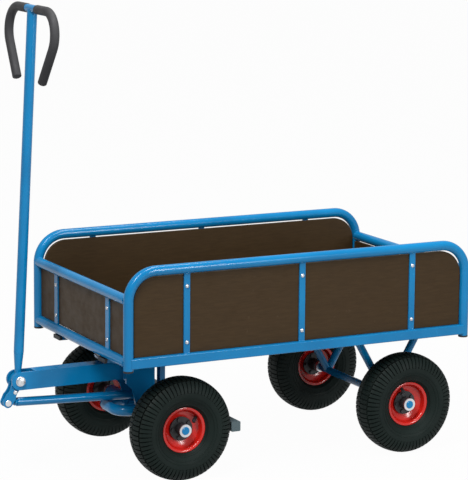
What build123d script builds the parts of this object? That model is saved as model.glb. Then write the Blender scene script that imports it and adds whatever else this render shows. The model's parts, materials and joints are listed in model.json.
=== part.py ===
"""Four-wheeled hand cart with walled load bed, turntable steering and a braking drawbar.

Millimetres. +X points forward to the drawbar, +Y to the cart's left side, +Z up.
The origin lies on the floor under the middle of the whole cart.
"""

import os
from math import atan2, cos, degrees, radians, sin

from build123d import *

os.makedirs("parts", exist_ok=True)

SIDES = (1, -1)
WELD_GAP = 0.05          # gap left between coped tube ends and the tube they meet
RUN_GAP = 0.06           # radial clearance of a turning shaft in its hole
FACE_GAP = 0.3           # gap between faces that turn past each other

# Load bed: corner legs, rails and walls
BED_X = -101.25          # middle of the bed along the cart
LEG_X = 475              # corner legs from the middle of the bed, lengthwise
LEG_Y = 279              # corner legs from the middle of the bed, crosswise
LEG_FOOT_Z = 301         # lower end of the legs
FRONT_X = BED_X + LEG_X
REAR_X = BED_X - LEG_X
TUBE_R = 12.5
TUBE_WALL = 2
TOP_Z = 540              # centre line of the side walls' top tube
BEND_R = 71              # centre line of its bends
RAIL_Z = 305             # underside of the side rails and cross members
SIDE_RAIL = 25
RAIL_WALL = 2
RAIL_CORNER = 2.5
END_LOW_Z = 318          # centres of the end walls' bottom and top rails
END_TOP_Z = 471.5
SIDE_RAIL_SETBACK = 4    # side rails stop this far from the legs' centres
END_RAIL_SETBACK = 8     # end rails stop this far from the legs' centres

# Plywood walls, the straps that hold them and their bolts
PANEL_T = 9
PANEL_GAP = 2.5          # open gap between a side panel and its tube
PANEL_CORNER_R = 60      # rounder than the tube's bend, which leaves a crescent open
PANEL_LIFT = 1           # panels stand this far off the rails
END_PANEL_GAP = 1.5      # gap between an end panel and the legs
END_FACE = LEG_X - 2     # outer face of the end panels from the middle of the bed
FLOOR_T = 10
FLOOR_PLAY = 2
POST_W = 16
END_POST_W = 20
POST_T = 4
POST_PITCH = 318
POST_SHIFT = 2.5         # middle post from the middle of the bed, lengthwise
END_POST_Y = 159
SIDE_SCREW_ZS = (496, 357)
END_SCREW_ZS = (432.5, 353.5)
SCREW_R = 2.5
SCREW_REACH = 6.5        # screws reach this far into a panel
SCREW_HOLE_R = 2.6
SCREW_HOLE_DEPTH = 7
SCREW_HEAD_R = 5
SCREW_HEAD_H = 2.8
SCREW_HEAD_TAPER = 30
CAP_H = 5
CAP_PLUG_H = 12

# Wheels and axles
WHEEL_R = 130
FRONT_WHEEL_Y = 232      # middle planes of the wheels
REAR_WHEEL_Y = 241
FRONT_AXLE_X = BED_X + 313.4
REAR_AXLE_X = BED_X - 322.3
AXLE_R = 10
AXLE_PAST = 34           # axles end this far outside the wheels' middle planes
RING_R = 16
RING_T = 4
HUB_OUT = 28             # hub barrel reaches this far outside the wheel's middle
HUB_IN = 36              # and this far inside
HUB_R = 16
HUB_FLANGE_R = 30
HUB_FLANGE_T = 4.5
BUSH_R = 13
BOLT_R = 3               # rim bolts
BOLT_HOLE_R = 3.1
BOLT_HEX_R = 5
BOLT_HEAD_H = 4
BOLT_NUT_H = 5
RIM_SHEET = 2.5
RIM_BOLT_RING_R = 23.5
RIM_BOLT_COUNT = 5
RIM_POINTS = (           # radius and distance from the wheel's middle, along a rim half
    (33, RIM_SHEET / 2),
    (45, 6.5),
    (48.8, 11),
    (48.8, 19.7),
    (52, 24.2),
    (57, 24.5),
)
CROWN_IN = 120           # inside and outside of the tyre in its middle plane
TREAD_EDGE = (129.2, 13)
SHOULDER_MID = (124, 28.5)
SHOULDER = (113, 38)
BULGE = (90, 42.3)
RIM_LINE = (57, 23.2)
BEAD_OUT = (51, 20.7)
BEAD_IN = (51, 11)
BEAD_TOP = (58, 12)
LINING = (88, 36)
INNER_TUBE_R = 88        # centre circle of the air tube
AIR_TUBE_R = 30
AIR_TUBE_WALL = 2
VALVE_R = 4
VALVE_FOOT = (62, -4)    # radius and outward shift of the valve's foot and tip
VALVE_TIP = (33, 20)
STRUT_Y = 154            # rear axle struts
STRUT_R = 10
STRUT_WALL = 2
STRUT_SPREAD = 102       # feet of a strut pair from the axle, lengthwise
COLLAR_R = 14            # collars between the hubs and the frame
COLLAR_L = 12

# Members under the bed and the turntable
MEMBER_XS = (REAR_AXLE_X - STRUT_SPREAD, REAR_AXLE_X + STRUT_SPREAD, BED_X, BED_X + 150)
CARRIER_Y = 140
CARRIER_W = 40
CARRIER_H = 10
CARRIER_CAP = 8          # length of the caps on the carriers' front ends
CARRIER_FRONT = 484      # ends of the carriers from the middle of the bed
CARRIER_BACK = 137
TABLE_T = 4
TABLE_X = 200
TABLE_Y = 340
RING_MEAN_R = 102
RING_W = 26
BALL_R = 3.8
BALL_COUNT = 24
GROOVE_R = 4.1
CARRIER_Z = RAIL_Z - WELD_GAP - CARRIER_H
TABLE_Z = CARRIER_Z - WELD_GAP - TABLE_T
LOWER_RING_Z = (273, 278.5)
UPPER_RING_Z = (282.5, TABLE_Z)
BALL_Z = 280.5
KINGPIN_R = 8
KING_HEX_R = 12.8
KING_HEAD_H = 10
KING_NUT_H = 8
KING_TAIL = 12           # kingpin's thread from the nut's underside

# Bogie under the turntable
BOGIE_TOP = LOWER_RING_Z[0]
DISC_R = 117
DISC_T = 6
CHEEK_Y = 34             # inner faces of the cheek plates
CHEEK_T = 6
CHEEK_BACK = -22         # cheeks from the axle, lengthwise
CHEEK_FRONT = 57
CHEEK_NOSE = ((57, 205), (39, 187), (26, 125))
CHEEK_FOOT_Z = 125
BRACE_T = 6              # cross plates between the drawbar arm and the cheeks
BACK_BRACE_Y = 16
BACK_BRACE_Z = 200
BEAM_R = 19              # tube around the front axle bar
BEAM_WALL = 3
BEAM_HALF = 177
BOW_X = 84               # bent tube in front of the beam, from the axle
BOW_Y = 56
BOW_Z = 139.5
BOW_R = 14
BOW_WALL = 3
BOW_BEND_R = 36
LUG_Y = 16               # lugs that carry the brake shaft
LUG_T = 6
LUG_R = 9.5

# Drawbar with its foot, lever and handle
PIVOT_X = BED_X + 648
PIVOT_Z = 235.6
LEAN = 2.85              # drawbar leans this many degrees back onto its stop
ARM_H = 45
ARM_GAP = 15             # inner faces of the arm's plates from the middle
ARM_PLATE = 5
ARM_BACK = -16           # rear ends of the arm's plates and web from the axle
ARM_WEB_BACK = 20
ARM_WEB_SETBACK = 40
PIVOT_R = 6
PIVOT_HEX_R = 11
PIVOT_HEX_H = 7.5
PIVOT_TAIL = 12
BOSS_R = 17
LEVER_X = PIVOT_X + 30   # pin of the brake lever
LEVER_Z = PIVOT_Z - 54.3
LEVER_R = 12
LEVER_INNER = 7          # inner and outer faces of the lever's cheeks
LEVER_OUTER = 12
LEVER_WAIST = 10.5       # half width of the lever's waist and the radius of its hollow sides
LEVER_WAIST_R = 40
LEVER_PIN_R = 5
LEVER_BOLT_X = PIVOT_X + 10.6
LEVER_BOLT_Z = PIVOT_Z - 28.4
PIN_HEAD_R = 8
PIN_HEAD_T = 2.2
LEVER_BOLT_HEAD_R = 5.5
FOOT_R = 8.5
FOOT_TAPER = (24, 72)    # the drawbar tube tapers between these heights
HANDLE_H = 917           # handle's cross bar, up the drawbar from its pivot
HANDLE_R = 10
HANDLE_CORNER_Y = 193.6  # meeting point of the cross bar's and the tail's lines
HANDLE_BEND_R = 57
TAIL_END_Y = 81
TAIL_DROP = 171
GRIP_START_Y = 30
GRIP_R = 11.5
GRIP_CAP = 4
GRIP_CAP_TAPER = 25

# Brake bar behind the front wheels and the rod that pulls it
SHAFT_X = BED_X + 255    # shaft that the brake hangers turn on
SHAFT_Z = 256.9
SHAFT_R = 6
SHAFT_HALF = 26
ROD_DROP = 95            # rod pin below the shaft
BRAKE_GAP = 1.0          # parked gap between bar and tread
BAR = 25
BAR_WALL = 2
BAR_HALF = 252
BAR_X = FRONT_AXLE_X - WHEEL_R - BRAKE_GAP - BAR / 2
BAR_Z = 123
BAR_CAP_T = 3
HANGER_Y = 5             # inner faces of the two hangers
HANGER_T = 5
HANGER_W = 14
HANGER_HUB_R = 9.5
HANGER_LUG_R = 12
HANGER_FOOT = (4, 20)    # thickness and height of the hangers' ends on the bar
ROD_PIN_TAIL = 4
ROD_PIN_HEAD_T = 3
ROD_R = 11
ROD_WALL = 2.5
ROD_FRONT = 27           # rod tube starts and ends this far from its two pins
ROD_BACK = 64
ROD_SOLID = 30           # length of the rod's threaded front end
ROD_THREAD = 24          # the eye's thread reaches this far into it
ROD_NUT_R = 9.5
ROD_NUT_H = 8
ROD_PLATE_T = 6
ROD_PLATE_R = 14.5
ROD_PLATE_H = 18
ROD_PLATE_LAP = 10
SLOT_W = 15              # window that leaves the rod free around its rear pin
SLOT_H = 16
SLOT_CORNER = 5
SLOT_SHIFT = (1.9, 2.3)


def save(piece, label):
    """Label a finished piece and write it as its own STEP file."""
    piece.part.label = label
    export_step(piece.part, f"parts/{label}.step")


def square_tube_section(plane, size):
    """Section of a square tube with rounded corners."""
    bore = size - 2 * RAIL_WALL
    with BuildSketch(plane) as section:
        RectangleRounded(size, size, RAIL_CORNER)
        RectangleRounded(bore, bore, RAIL_CORNER / 2, mode=Mode.SUBTRACT)
    return section.sketch


def front_plane(x, y, z):
    """Plane at a point of the cart: normal forward, own x to the left, own y up."""
    return Plane(origin=(x, y, z), x_dir=(0, 1, 0), z_dir=(1, 0, 0))


def side_plane(x, y, z):
    """Plane at a point of the cart: normal to the right, own x forward, own y up."""
    return Plane(origin=(x, y, z), x_dir=(1, 0, 0), z_dir=(0, -1, 0))


def across(x, z, y):
    """Plane at a point of the cart: normal to the left, own x forward, own y down."""
    return Plane(origin=(x, y, z), x_dir=(1, 0, 0), z_dir=(0, 1, 0))


LEGS = [(x, side * LEG_Y) for x in (FRONT_X, REAR_X) for side in SIDES]
ENDS = ((FRONT_X, 1), (REAR_X, -1))


# Side tubes: each is one bent tube that makes two legs and a top bar
def side_tube(side, radius, bore):
    with BuildPart() as tube:
        with BuildLine(Plane.XZ.offset(-side * LEG_Y)) as route:
            FilletPolyline(
                (REAR_X, LEG_FOOT_Z),
                (REAR_X, TOP_Z),
                (FRONT_X, TOP_Z),
                (FRONT_X, LEG_FOOT_Z),
                radius=BEND_R,
            )
        with BuildSketch(Plane(origin=route.line @ 0, z_dir=route.line % 0)):
            Circle(radius)
            if bore:
                Circle(bore, mode=Mode.SUBTRACT)
        sweep()
    return tube


save(side_tube(1, TUBE_R, TUBE_R - TUBE_WALL), "side_tube_left")
save(side_tube(-1, TUBE_R, TUBE_R - TUBE_WALL), "side_tube_right")
tube_cutters = [side_tube(side, TUBE_R + WELD_GAP, 0).part for side in SIDES]

# Leg caps: plastic plugs in the open ends of the legs and of the turntable's carriers
with BuildPart() as leg_caps:
    with Locations(*[(x, y, LEG_FOOT_Z - CAP_H / 2) for x, y in LEGS]):
        Cylinder(TUBE_R, CAP_H)
    fillet(leg_caps.edges().group_by(Axis.Z)[0], 1.5)
    with Locations(*[(x, y, LEG_FOOT_Z + CAP_PLUG_H / 2) for x, y in LEGS]):
        Cylinder(TUBE_R - TUBE_WALL - WELD_GAP, CAP_PLUG_H)
    carrier_bore = 2 * (RAIL_WALL + WELD_GAP)
    for side in SIDES:
        cap_end = front_plane(BED_X + CARRIER_FRONT, side * CARRIER_Y, CARRIER_Z + CARRIER_H / 2)
        with BuildSketch(cap_end):
            Rectangle(CARRIER_W, CARRIER_H)
        extrude(amount=-CARRIER_CAP)
        with BuildSketch(cap_end):
            Rectangle(CARRIER_W - carrier_bore, CARRIER_H - carrier_bore)
        extrude(amount=-CARRIER_CAP - CAP_PLUG_H)
save(leg_caps, "leg_caps")

# Side rails: square tubes between the legs, coped to their round walls
with BuildPart() as side_rails:
    rail_length = 2 * (LEG_X - SIDE_RAIL_SETBACK)
    for side in SIDES:
        start = front_plane(BED_X - rail_length / 2, side * LEG_Y, RAIL_Z + SIDE_RAIL / 2)
        extrude(square_tube_section(start, SIDE_RAIL), amount=rail_length)
    add(tube_cutters, mode=Mode.SUBTRACT)
save(side_rails, "side_rails")


# End rails: round tubes across the front and the back, coped to the legs
def end_rails(middle_z):
    half = LEG_Y - END_RAIL_SETBACK
    side_rail_room = SIDE_RAIL + 2 * WELD_GAP
    with BuildPart() as rails:
        for x, _ in ENDS:
            with BuildSketch(side_plane(x, half, middle_z)):
                Circle(TUBE_R)
                Circle(TUBE_R - TUBE_WALL, mode=Mode.SUBTRACT)
            extrude(amount=2 * half)
        add(tube_cutters, mode=Mode.SUBTRACT)
        with Locations(*[(BED_X, side * LEG_Y, RAIL_Z + SIDE_RAIL / 2) for side in SIDES]):
            Box(rail_length + 2 * WELD_GAP, side_rail_room, side_rail_room, mode=Mode.SUBTRACT)
    return rails


save(end_rails(END_LOW_Z), "end_bottom_rails")
save(end_rails(END_TOP_Z), "end_top_rails")

# Wall posts: flat straps welded outside the panels from rail to top tube
side_post_spots = [BED_X + POST_SHIFT + k * POST_PITCH for k in (-1, 0, 1)]
with BuildPart() as wall_posts:
    for side in SIDES:
        foot = RAIL_Z + SIDE_RAIL
        with BuildSketch(Plane.XZ.offset(-side * LEG_Y)):
            with Locations(*[(x, (foot + TOP_Z) / 2) for x in side_post_spots]):
                Rectangle(POST_W, TOP_Z - foot)
            with Locations(*[(x, z) for x in side_post_spots for z in SIDE_SCREW_ZS]):
                Circle(SCREW_HOLE_R, mode=Mode.SUBTRACT)
        extrude(amount=-side * POST_T)
    add(tube_cutters, mode=Mode.SUBTRACT)
    for _, end in ENDS:
        foot = END_LOW_Z + TUBE_R + WELD_GAP
        top = END_TOP_Z - TUBE_R - WELD_GAP
        with BuildSketch(Plane.YZ.offset(BED_X + end * END_FACE)):
            with Locations(*[(side * END_POST_Y, (foot + top) / 2) for side in SIDES]):
                Rectangle(END_POST_W, top - foot)
            with Locations(*[(side * END_POST_Y, z) for side in SIDES for z in END_SCREW_ZS]):
                Circle(SCREW_HOLE_R, mode=Mode.SUBTRACT)
        extrude(amount=end * POST_T)
save(wall_posts, "wall_posts")


# Side panels: film-faced plywood with its upper corners rounded to follow the tube
def side_panel(side):
    bottom = RAIL_Z + SIDE_RAIL + PANEL_LIFT
    top = TOP_Z - TUBE_R - PANEL_GAP
    length = 2 * (LEG_X - TUBE_R - PANEL_GAP)
    with BuildPart() as panel:
        with BuildSketch(Plane.XZ.offset(-side * LEG_Y)) as outline:
            with Locations((BED_X, (bottom + top) / 2)):
                Rectangle(length, top - bottom)
            fillet(outline.vertices().group_by(Axis.Y)[-1], PANEL_CORNER_R)
        extrude(amount=side * PANEL_T)
        with BuildSketch(Plane.XZ.offset(-side * LEG_Y)):
            with Locations(*[(x, z) for x in side_post_spots for z in SIDE_SCREW_ZS]):
                Circle(SCREW_HOLE_R)
        extrude(amount=side * SCREW_HOLE_DEPTH, mode=Mode.SUBTRACT)
    return panel


save(side_panel(1), "side_panel_left")
save(side_panel(-1), "side_panel_right")


# End panels: the lower plywood walls at the front and the back
def end_panel(end):
    bottom = END_LOW_Z + TUBE_R + PANEL_LIFT
    top = END_TOP_Z - TUBE_R - PANEL_LIFT
    width = 2 * (LEG_Y - TUBE_R - END_PANEL_GAP)
    with BuildPart() as panel:
        with BuildSketch(Plane.YZ.offset(BED_X + end * END_FACE)):
            with Locations((0, (bottom + top) / 2)):
                Rectangle(width, top - bottom)
        extrude(amount=-end * PANEL_T)
        with BuildSketch(Plane.YZ.offset(BED_X + end * END_FACE)):
            with Locations(*[(side * END_POST_Y, z) for side in SIDES for z in END_SCREW_ZS]):
                Circle(SCREW_HOLE_R)
        extrude(amount=-end * SCREW_HOLE_DEPTH, mode=Mode.SUBTRACT)
    return panel


save(end_panel(1), "front_panel")
save(end_panel(-1), "rear_panel")

# Floor board: plywood laid between the rails on the cross members
FLOOR_Z = RAIL_Z + SIDE_RAIL
with BuildPart() as floor_board:
    with Locations((BED_X, 0, FLOOR_Z + FLOOR_T / 2)):
        Box(
            2 * (LEG_X - TUBE_R - FLOOR_PLAY),
            2 * (LEG_Y - SIDE_RAIL / 2 - FLOOR_PLAY),
            FLOOR_T,
        )
save(floor_board, "floor_board")

# Panel screws: round-headed screws through the straps into the panels
with BuildPart() as panel_screw:
    with BuildSketch():
        Circle(SCREW_HEAD_R)
    extrude(amount=SCREW_HEAD_H, taper=SCREW_HEAD_TAPER)
    with BuildSketch():
        Circle(SCREW_R)
    extrude(amount=-(POST_T + SCREW_REACH))

side_screws = [
    Plane(origin=(x, side * (LEG_Y + POST_T), z), z_dir=(0, side, 0)).location
    for side in SIDES
    for x in side_post_spots
    for z in SIDE_SCREW_ZS
]
end_screws = [
    Plane(origin=(BED_X + end * (END_FACE + POST_T), side * END_POST_Y, z), z_dir=(end, 0, 0)).location
    for _, end in ENDS
    for side in SIDES
    for z in END_SCREW_ZS
]
with BuildPart() as panel_screws:
    with Locations(*side_screws, *end_screws):
        add(panel_screw.part)
save(panel_screws, "panel_screws")

# Under frame: cross members below the floor, turntable carriers and the turntable plate
KING_X = FRONT_AXLE_X
with BuildPart() as under_frame:
    member_half = LEG_Y - SIDE_RAIL / 2
    for x in MEMBER_XS:
        start = side_plane(x, member_half, RAIL_Z + SIDE_RAIL / 2)
        extrude(square_tube_section(start, SIDE_RAIL), amount=2 * member_half)
    for side in SIDES:
        start = front_plane(BED_X + CARRIER_BACK, side * CARRIER_Y, CARRIER_Z + CARRIER_H / 2)
        with BuildSketch(start):
            Rectangle(CARRIER_W, CARRIER_H)
            Rectangle(CARRIER_W - 2 * RAIL_WALL, CARRIER_H - 2 * RAIL_WALL, mode=Mode.SUBTRACT)
        extrude(amount=CARRIER_FRONT - CARRIER_CAP - CARRIER_BACK)
    with Locations((KING_X, 0, TABLE_Z + TABLE_T / 2)):
        Box(TABLE_X, TABLE_Y, TABLE_T)
        Cylinder(KINGPIN_R + RUN_GAP, 2 * TABLE_T, mode=Mode.SUBTRACT)
save(under_frame, "under_frame")


# Turntable rings: two flat steel rings with a ball groove between them
def turntable_ring(z_low, z_high):
    with BuildPart() as ring:
        with BuildSketch(side_plane(KING_X, 0, 0)):
            with Locations((RING_MEAN_R, (z_low + z_high) / 2)):
                Rectangle(RING_W, z_high - z_low)
            with Locations((RING_MEAN_R, BALL_Z)):
                Circle(GROOVE_R, mode=Mode.SUBTRACT)
        revolve(axis=Axis((KING_X, 0, 0), (0, 0, 1)))
    return ring


save(turntable_ring(*UPPER_RING_Z), "turntable_upper_ring")
save(turntable_ring(*LOWER_RING_Z), "turntable_lower_ring")

# Turntable balls: the steel balls that run in the grooves
with BuildPart() as turntable_balls:
    with Locations((KING_X, 0, BALL_Z)):
        with PolarLocations(RING_MEAN_R, BALL_COUNT):
            Sphere(BALL_R)
save(turntable_balls, "turntable_balls")

# Kingpin: bolt through the bogie's disc and the turntable plate, with its nut on top
DISC_Z = BOGIE_TOP - DISC_T
KING_NUT_Z = CARRIER_Z + FACE_GAP
with BuildPart() as kingpin:
    with BuildSketch(Plane((KING_X, 0, DISC_Z))):
        RegularPolygon(KING_HEX_R, 6)
    extrude(amount=-KING_HEAD_H)
    with BuildSketch(Plane((KING_X, 0, DISC_Z))):
        Circle(KINGPIN_R)
    extrude(amount=KING_NUT_Z - DISC_Z + KING_TAIL)
    with BuildSketch(Plane((KING_X, 0, KING_NUT_Z))):
        RegularPolygon(KING_HEX_R, 6)
    extrude(amount=KING_NUT_H)
save(kingpin, "kingpin")

# Bogie plate: disc under the turntable, cross plates at the drawbar arm and the brake shaft's lugs
weld_z = DISC_Z - WELD_GAP
cheek_inner = CHEEK_Y - WELD_GAP
arm_side = ARM_GAP + ARM_PLATE + WELD_GAP
lug_reach = FRONT_AXLE_X + CHEEK_BACK - WELD_GAP - SHAFT_X
with BuildPart() as bogie_plate:
    with BuildSketch(Plane((KING_X, 0, DISC_Z))):
        Circle(DISC_R)
        Circle(KINGPIN_R + WELD_GAP, mode=Mode.SUBTRACT)
    extrude(amount=DISC_T)
    for side in SIDES:
        for x, inner, low, high in (
            (CHEEK_FRONT - BRACE_T, arm_side, PIVOT_Z - ARM_H / 2, PIVOT_Z + ARM_H / 2),
            (CHEEK_BACK, BACK_BRACE_Y, BACK_BRACE_Z, weld_z),
        ):
            middle_y = side * (inner + cheek_inner) / 2
            with BuildSketch(front_plane(FRONT_AXLE_X + x, middle_y, (low + high) / 2)):
                Rectangle(cheek_inner - inner, high - low)
            extrude(amount=BRACE_T - WELD_GAP)
        with BuildSketch(across(SHAFT_X, SHAFT_Z, side * LUG_Y)):
            Circle(LUG_R)
            with Locations((lug_reach / 2, 0)):
                Rectangle(lug_reach, 2 * LUG_R)
            Circle(SHAFT_R + WELD_GAP, mode=Mode.SUBTRACT)
        extrude(amount=side * LUG_T)
save(bogie_plate, "bogie_plate")

# Bogie cheeks: two upright plates between the disc and the axle's beam
with BuildPart() as bogie_cheeks:
    for side in SIDES:
        with BuildSketch(across(FRONT_AXLE_X, 0, side * CHEEK_Y)):
            with BuildLine():
                Polyline(
                    (CHEEK_BACK, -weld_z),
                    (CHEEK_FRONT, -weld_z),
                    *[(x, -z) for x, z in CHEEK_NOSE],
                    (CHEEK_BACK, -CHEEK_FOOT_Z),
                    close=True,
                )
            make_face()
            with Locations((0, -WHEEL_R)):
                Circle(BEAM_R + WELD_GAP, mode=Mode.SUBTRACT)
        extrude(amount=side * CHEEK_T)
save(bogie_cheeks, "bogie_cheeks")

# Axle bow: bent tube that runs round in front of the cheeks, coped to the beam at both ends
with BuildPart() as axle_bow:
    with BuildLine(Plane.XY.offset(BOW_Z)) as bow_route:
        FilletPolyline(
            (FRONT_AXLE_X, -BOW_Y),
            (FRONT_AXLE_X + BOW_X, -BOW_Y),
            (FRONT_AXLE_X + BOW_X, BOW_Y),
            (FRONT_AXLE_X, BOW_Y),
            radius=BOW_BEND_R,
        )
    with BuildSketch(Plane(origin=bow_route.line @ 0, z_dir=bow_route.line % 0)):
        Circle(BOW_R)
        Circle(BOW_R - BOW_WALL, mode=Mode.SUBTRACT)
    sweep()
    with Locations(Location((FRONT_AXLE_X, 0, WHEEL_R), (90, 0, 0))):
        Cylinder(BEAM_R + WELD_GAP, 4 * BOW_Y, mode=Mode.SUBTRACT)

# Front axle: the bow, a round beam closed at its ends and the axle bar that runs through it
front_axle_end = FRONT_WHEEL_Y + AXLE_PAST
with BuildPart() as front_axle:
    with BuildSketch(side_plane(FRONT_AXLE_X, BEAM_HALF, WHEEL_R)):
        Circle(BEAM_R)
        Circle(BEAM_R - BEAM_WALL, mode=Mode.SUBTRACT)
    extrude(amount=2 * BEAM_HALF)
    for side in SIDES:
        with BuildSketch(across(FRONT_AXLE_X, WHEEL_R, side * BEAM_HALF)):
            Circle(BEAM_R)
        extrude(amount=-side * BEAM_WALL)
    with BuildSketch(side_plane(FRONT_AXLE_X, front_axle_end, WHEEL_R)):
        Circle(AXLE_R)
    extrude(amount=2 * front_axle_end)
    chamfer(front_axle.faces().filter_by(Axis.Y).sort_by(Axis.Y)[-1].edges(), 1)
    chamfer(front_axle.faces().filter_by(Axis.Y).sort_by(Axis.Y)[0].edges(), 1)
    add(axle_bow.part)
save(front_axle, "front_axle")

# Rear axle: one round bar from wheel to wheel
rear_axle_end = REAR_WHEEL_Y + AXLE_PAST
with BuildPart() as rear_axle:
    with BuildSketch(side_plane(REAR_AXLE_X, rear_axle_end, WHEEL_R)):
        Circle(AXLE_R)
    extrude(amount=2 * rear_axle_end)
    chamfer(rear_axle.edges().filter_by(GeomType.CIRCLE), 1)
save(rear_axle, "rear_axle")

# Rear struts: a mitred V of two tubes on each side, from the cross members to the axle
def rear_strut(side, end):
    apex = Vector(REAR_AXLE_X, side * STRUT_Y, WHEEL_R)
    rise = Vector(end * STRUT_SPREAD, 0, RAIL_Z - WHEEL_R)
    with BuildPart() as strut:
        with BuildSketch(Plane(origin=apex, z_dir=rise)):
            Circle(STRUT_R)
            Circle(STRUT_R - STRUT_WALL, mode=Mode.SUBTRACT)
        extrude(amount=rise.length + 2 * STRUT_R)
        split(bisect_by=Plane.XY.offset(RAIL_Z), keep=Keep.BOTTOM)
        split(
            bisect_by=Plane.YZ.offset(REAR_AXLE_X + end * WELD_GAP),
            keep=Keep.TOP if end > 0 else Keep.BOTTOM,
        )
        with Locations(Location(apex, (90, 0, 0))):
            Cylinder(AXLE_R + WELD_GAP, 4 * STRUT_R, mode=Mode.SUBTRACT)
    return strut.part


with BuildPart() as rear_struts:
    for side in SIDES:
        for end in (1, -1):
            add(rear_strut(side, end))
save(rear_struts, "rear_struts")


# Axle rings: zinc rings outside the hubs and plain collars inside them
def axle_rings(axle_x, wheel_y, inner_face):
    hub_in = wheel_y - HUB_IN - FACE_GAP
    hub_out = wheel_y + HUB_OUT + FACE_GAP
    with BuildPart() as rings:
        for side in SIDES:
            with BuildSketch(across(axle_x, WHEEL_R, side * inner_face)):
                Circle(COLLAR_R)
                Circle(AXLE_R + WELD_GAP, mode=Mode.SUBTRACT)
            extrude(amount=side * (hub_in - inner_face))
            with BuildSketch(across(axle_x, WHEEL_R, side * hub_out)):
                Circle(RING_R)
                Circle(AXLE_R + WELD_GAP, mode=Mode.SUBTRACT)
            extrude(amount=side * RING_T)
    return rings


save(axle_rings(FRONT_AXLE_X, FRONT_WHEEL_Y, BEAM_HALF + WELD_GAP), "front_axle_rings")
save(axle_rings(REAR_AXLE_X, REAR_WHEEL_Y, REAR_WHEEL_Y - HUB_IN - COLLAR_L), "rear_axle_rings")


# Wheels: tyre, air tube with its valve, two pressed rim halves, hub and rim bolts
def mirrored(point):
    return point[0], -point[1]


def tyre(middle, spin):
    with BuildPart() as piece:
        with BuildSketch(Plane(origin=middle, x_dir=(1, 0, 0), z_dir=(0, 0, 1))):
            with BuildLine():
                ThreePointArc(mirrored(TREAD_EDGE), (WHEEL_R, 0), TREAD_EDGE)
                ThreePointArc(TREAD_EDGE, SHOULDER_MID, SHOULDER)
                ThreePointArc(SHOULDER, BULGE, RIM_LINE)
                Polyline(RIM_LINE, BEAD_OUT, BEAD_IN, BEAD_TOP)
                ThreePointArc(BEAD_TOP, LINING, (CROWN_IN, 0))
                ThreePointArc((CROWN_IN, 0), mirrored(LINING), mirrored(BEAD_TOP))
                Polyline(*[mirrored(point) for point in (BEAD_TOP, BEAD_IN, BEAD_OUT, RIM_LINE)])
                ThreePointArc(mirrored(RIM_LINE), mirrored(BULGE), mirrored(SHOULDER))
                ThreePointArc(mirrored(SHOULDER), mirrored(SHOULDER_MID), mirrored(TREAD_EDGE))
            make_face()
        revolve(axis=spin)
    return piece


def valve_line(middle, out, turn):
    ends = [Vector(r, out * y, 0).rotate(Axis.Y, turn) + middle for r, y in (VALVE_FOOT, VALVE_TIP)]
    return ends[0], ends[1] - ends[0]


def inner_tube(middle, spin, out, turn):
    foot, stem = valve_line(middle, out, turn)
    with BuildPart() as piece:
        with BuildSketch(Plane(origin=middle, x_dir=(1, 0, 0), z_dir=(0, 0, 1))):
            with Locations((INNER_TUBE_R, 0)):
                Circle(AIR_TUBE_R)
                Circle(AIR_TUBE_R - AIR_TUBE_WALL, mode=Mode.SUBTRACT)
        revolve(axis=spin)
        with BuildSketch(Plane(origin=foot, z_dir=stem)):
            Circle(VALVE_R)
        extrude(amount=stem.length)
    return piece


def rim(middle, spin, out, turn):
    foot, stem = valve_line(middle, out, turn)
    with BuildPart() as piece:
        for half in SIDES:
            with BuildSketch(Plane(origin=middle, x_dir=(1, 0, 0), z_dir=(0, 0, 1))):
                with BuildLine():
                    Polyline(
                        (HUB_R + FACE_GAP, half * RIM_SHEET / 2),
                        *[(r, half * y) for r, y in RIM_POINTS],
                    )
                trace(line_width=RIM_SHEET - 2 * WELD_GAP)
            revolve(axis=spin)
        with BuildSketch(Plane(origin=foot, z_dir=stem)):
            Circle(VALVE_R + FACE_GAP)
        extrude(amount=stem.length, mode=Mode.SUBTRACT)
        with BuildSketch(across(middle.X, middle.Z, middle.Y)):
            with PolarLocations(RIM_BOLT_RING_R, RIM_BOLT_COUNT):
                Circle(BOLT_HOLE_R)
        extrude(amount=2 * RIM_SHEET, both=True, mode=Mode.SUBTRACT)
    return piece


def hub(middle, spin, out):
    with BuildPart() as piece:
        with BuildSketch(Plane(origin=middle, x_dir=(1, 0, 0), z_dir=(0, 0, 1))):
            flange = RIM_SHEET + HUB_FLANGE_T / 2
            with Locations(((HUB_R + BUSH_R) / 2, out * (HUB_OUT - HUB_IN) / 2)):
                Rectangle(HUB_R - BUSH_R - 2 * WELD_GAP, HUB_OUT + HUB_IN)
            with Locations(((HUB_FLANGE_R + HUB_R) / 2 - 1, out * flange)):
                Rectangle(HUB_FLANGE_R - HUB_R + 2, HUB_FLANGE_T)
            with Locations(((HUB_FLANGE_R + HUB_R) / 2 + 0.2, -out * flange)):
                Rectangle(HUB_FLANGE_R - HUB_R, HUB_FLANGE_T)
            with Locations(((BUSH_R + AXLE_R + RUN_GAP) / 2, out * (HUB_OUT - HUB_IN) / 2)):
                Rectangle(BUSH_R - AXLE_R - RUN_GAP, HUB_OUT + HUB_IN)
        revolve(axis=spin)
        with BuildSketch(across(middle.X, middle.Z, middle.Y)):
            with PolarLocations(RIM_BOLT_RING_R, RIM_BOLT_COUNT):
                Circle(BOLT_HOLE_R)
        extrude(amount=2 * (RIM_SHEET + HUB_FLANGE_T), both=True, mode=Mode.SUBTRACT)
    return piece


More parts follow.
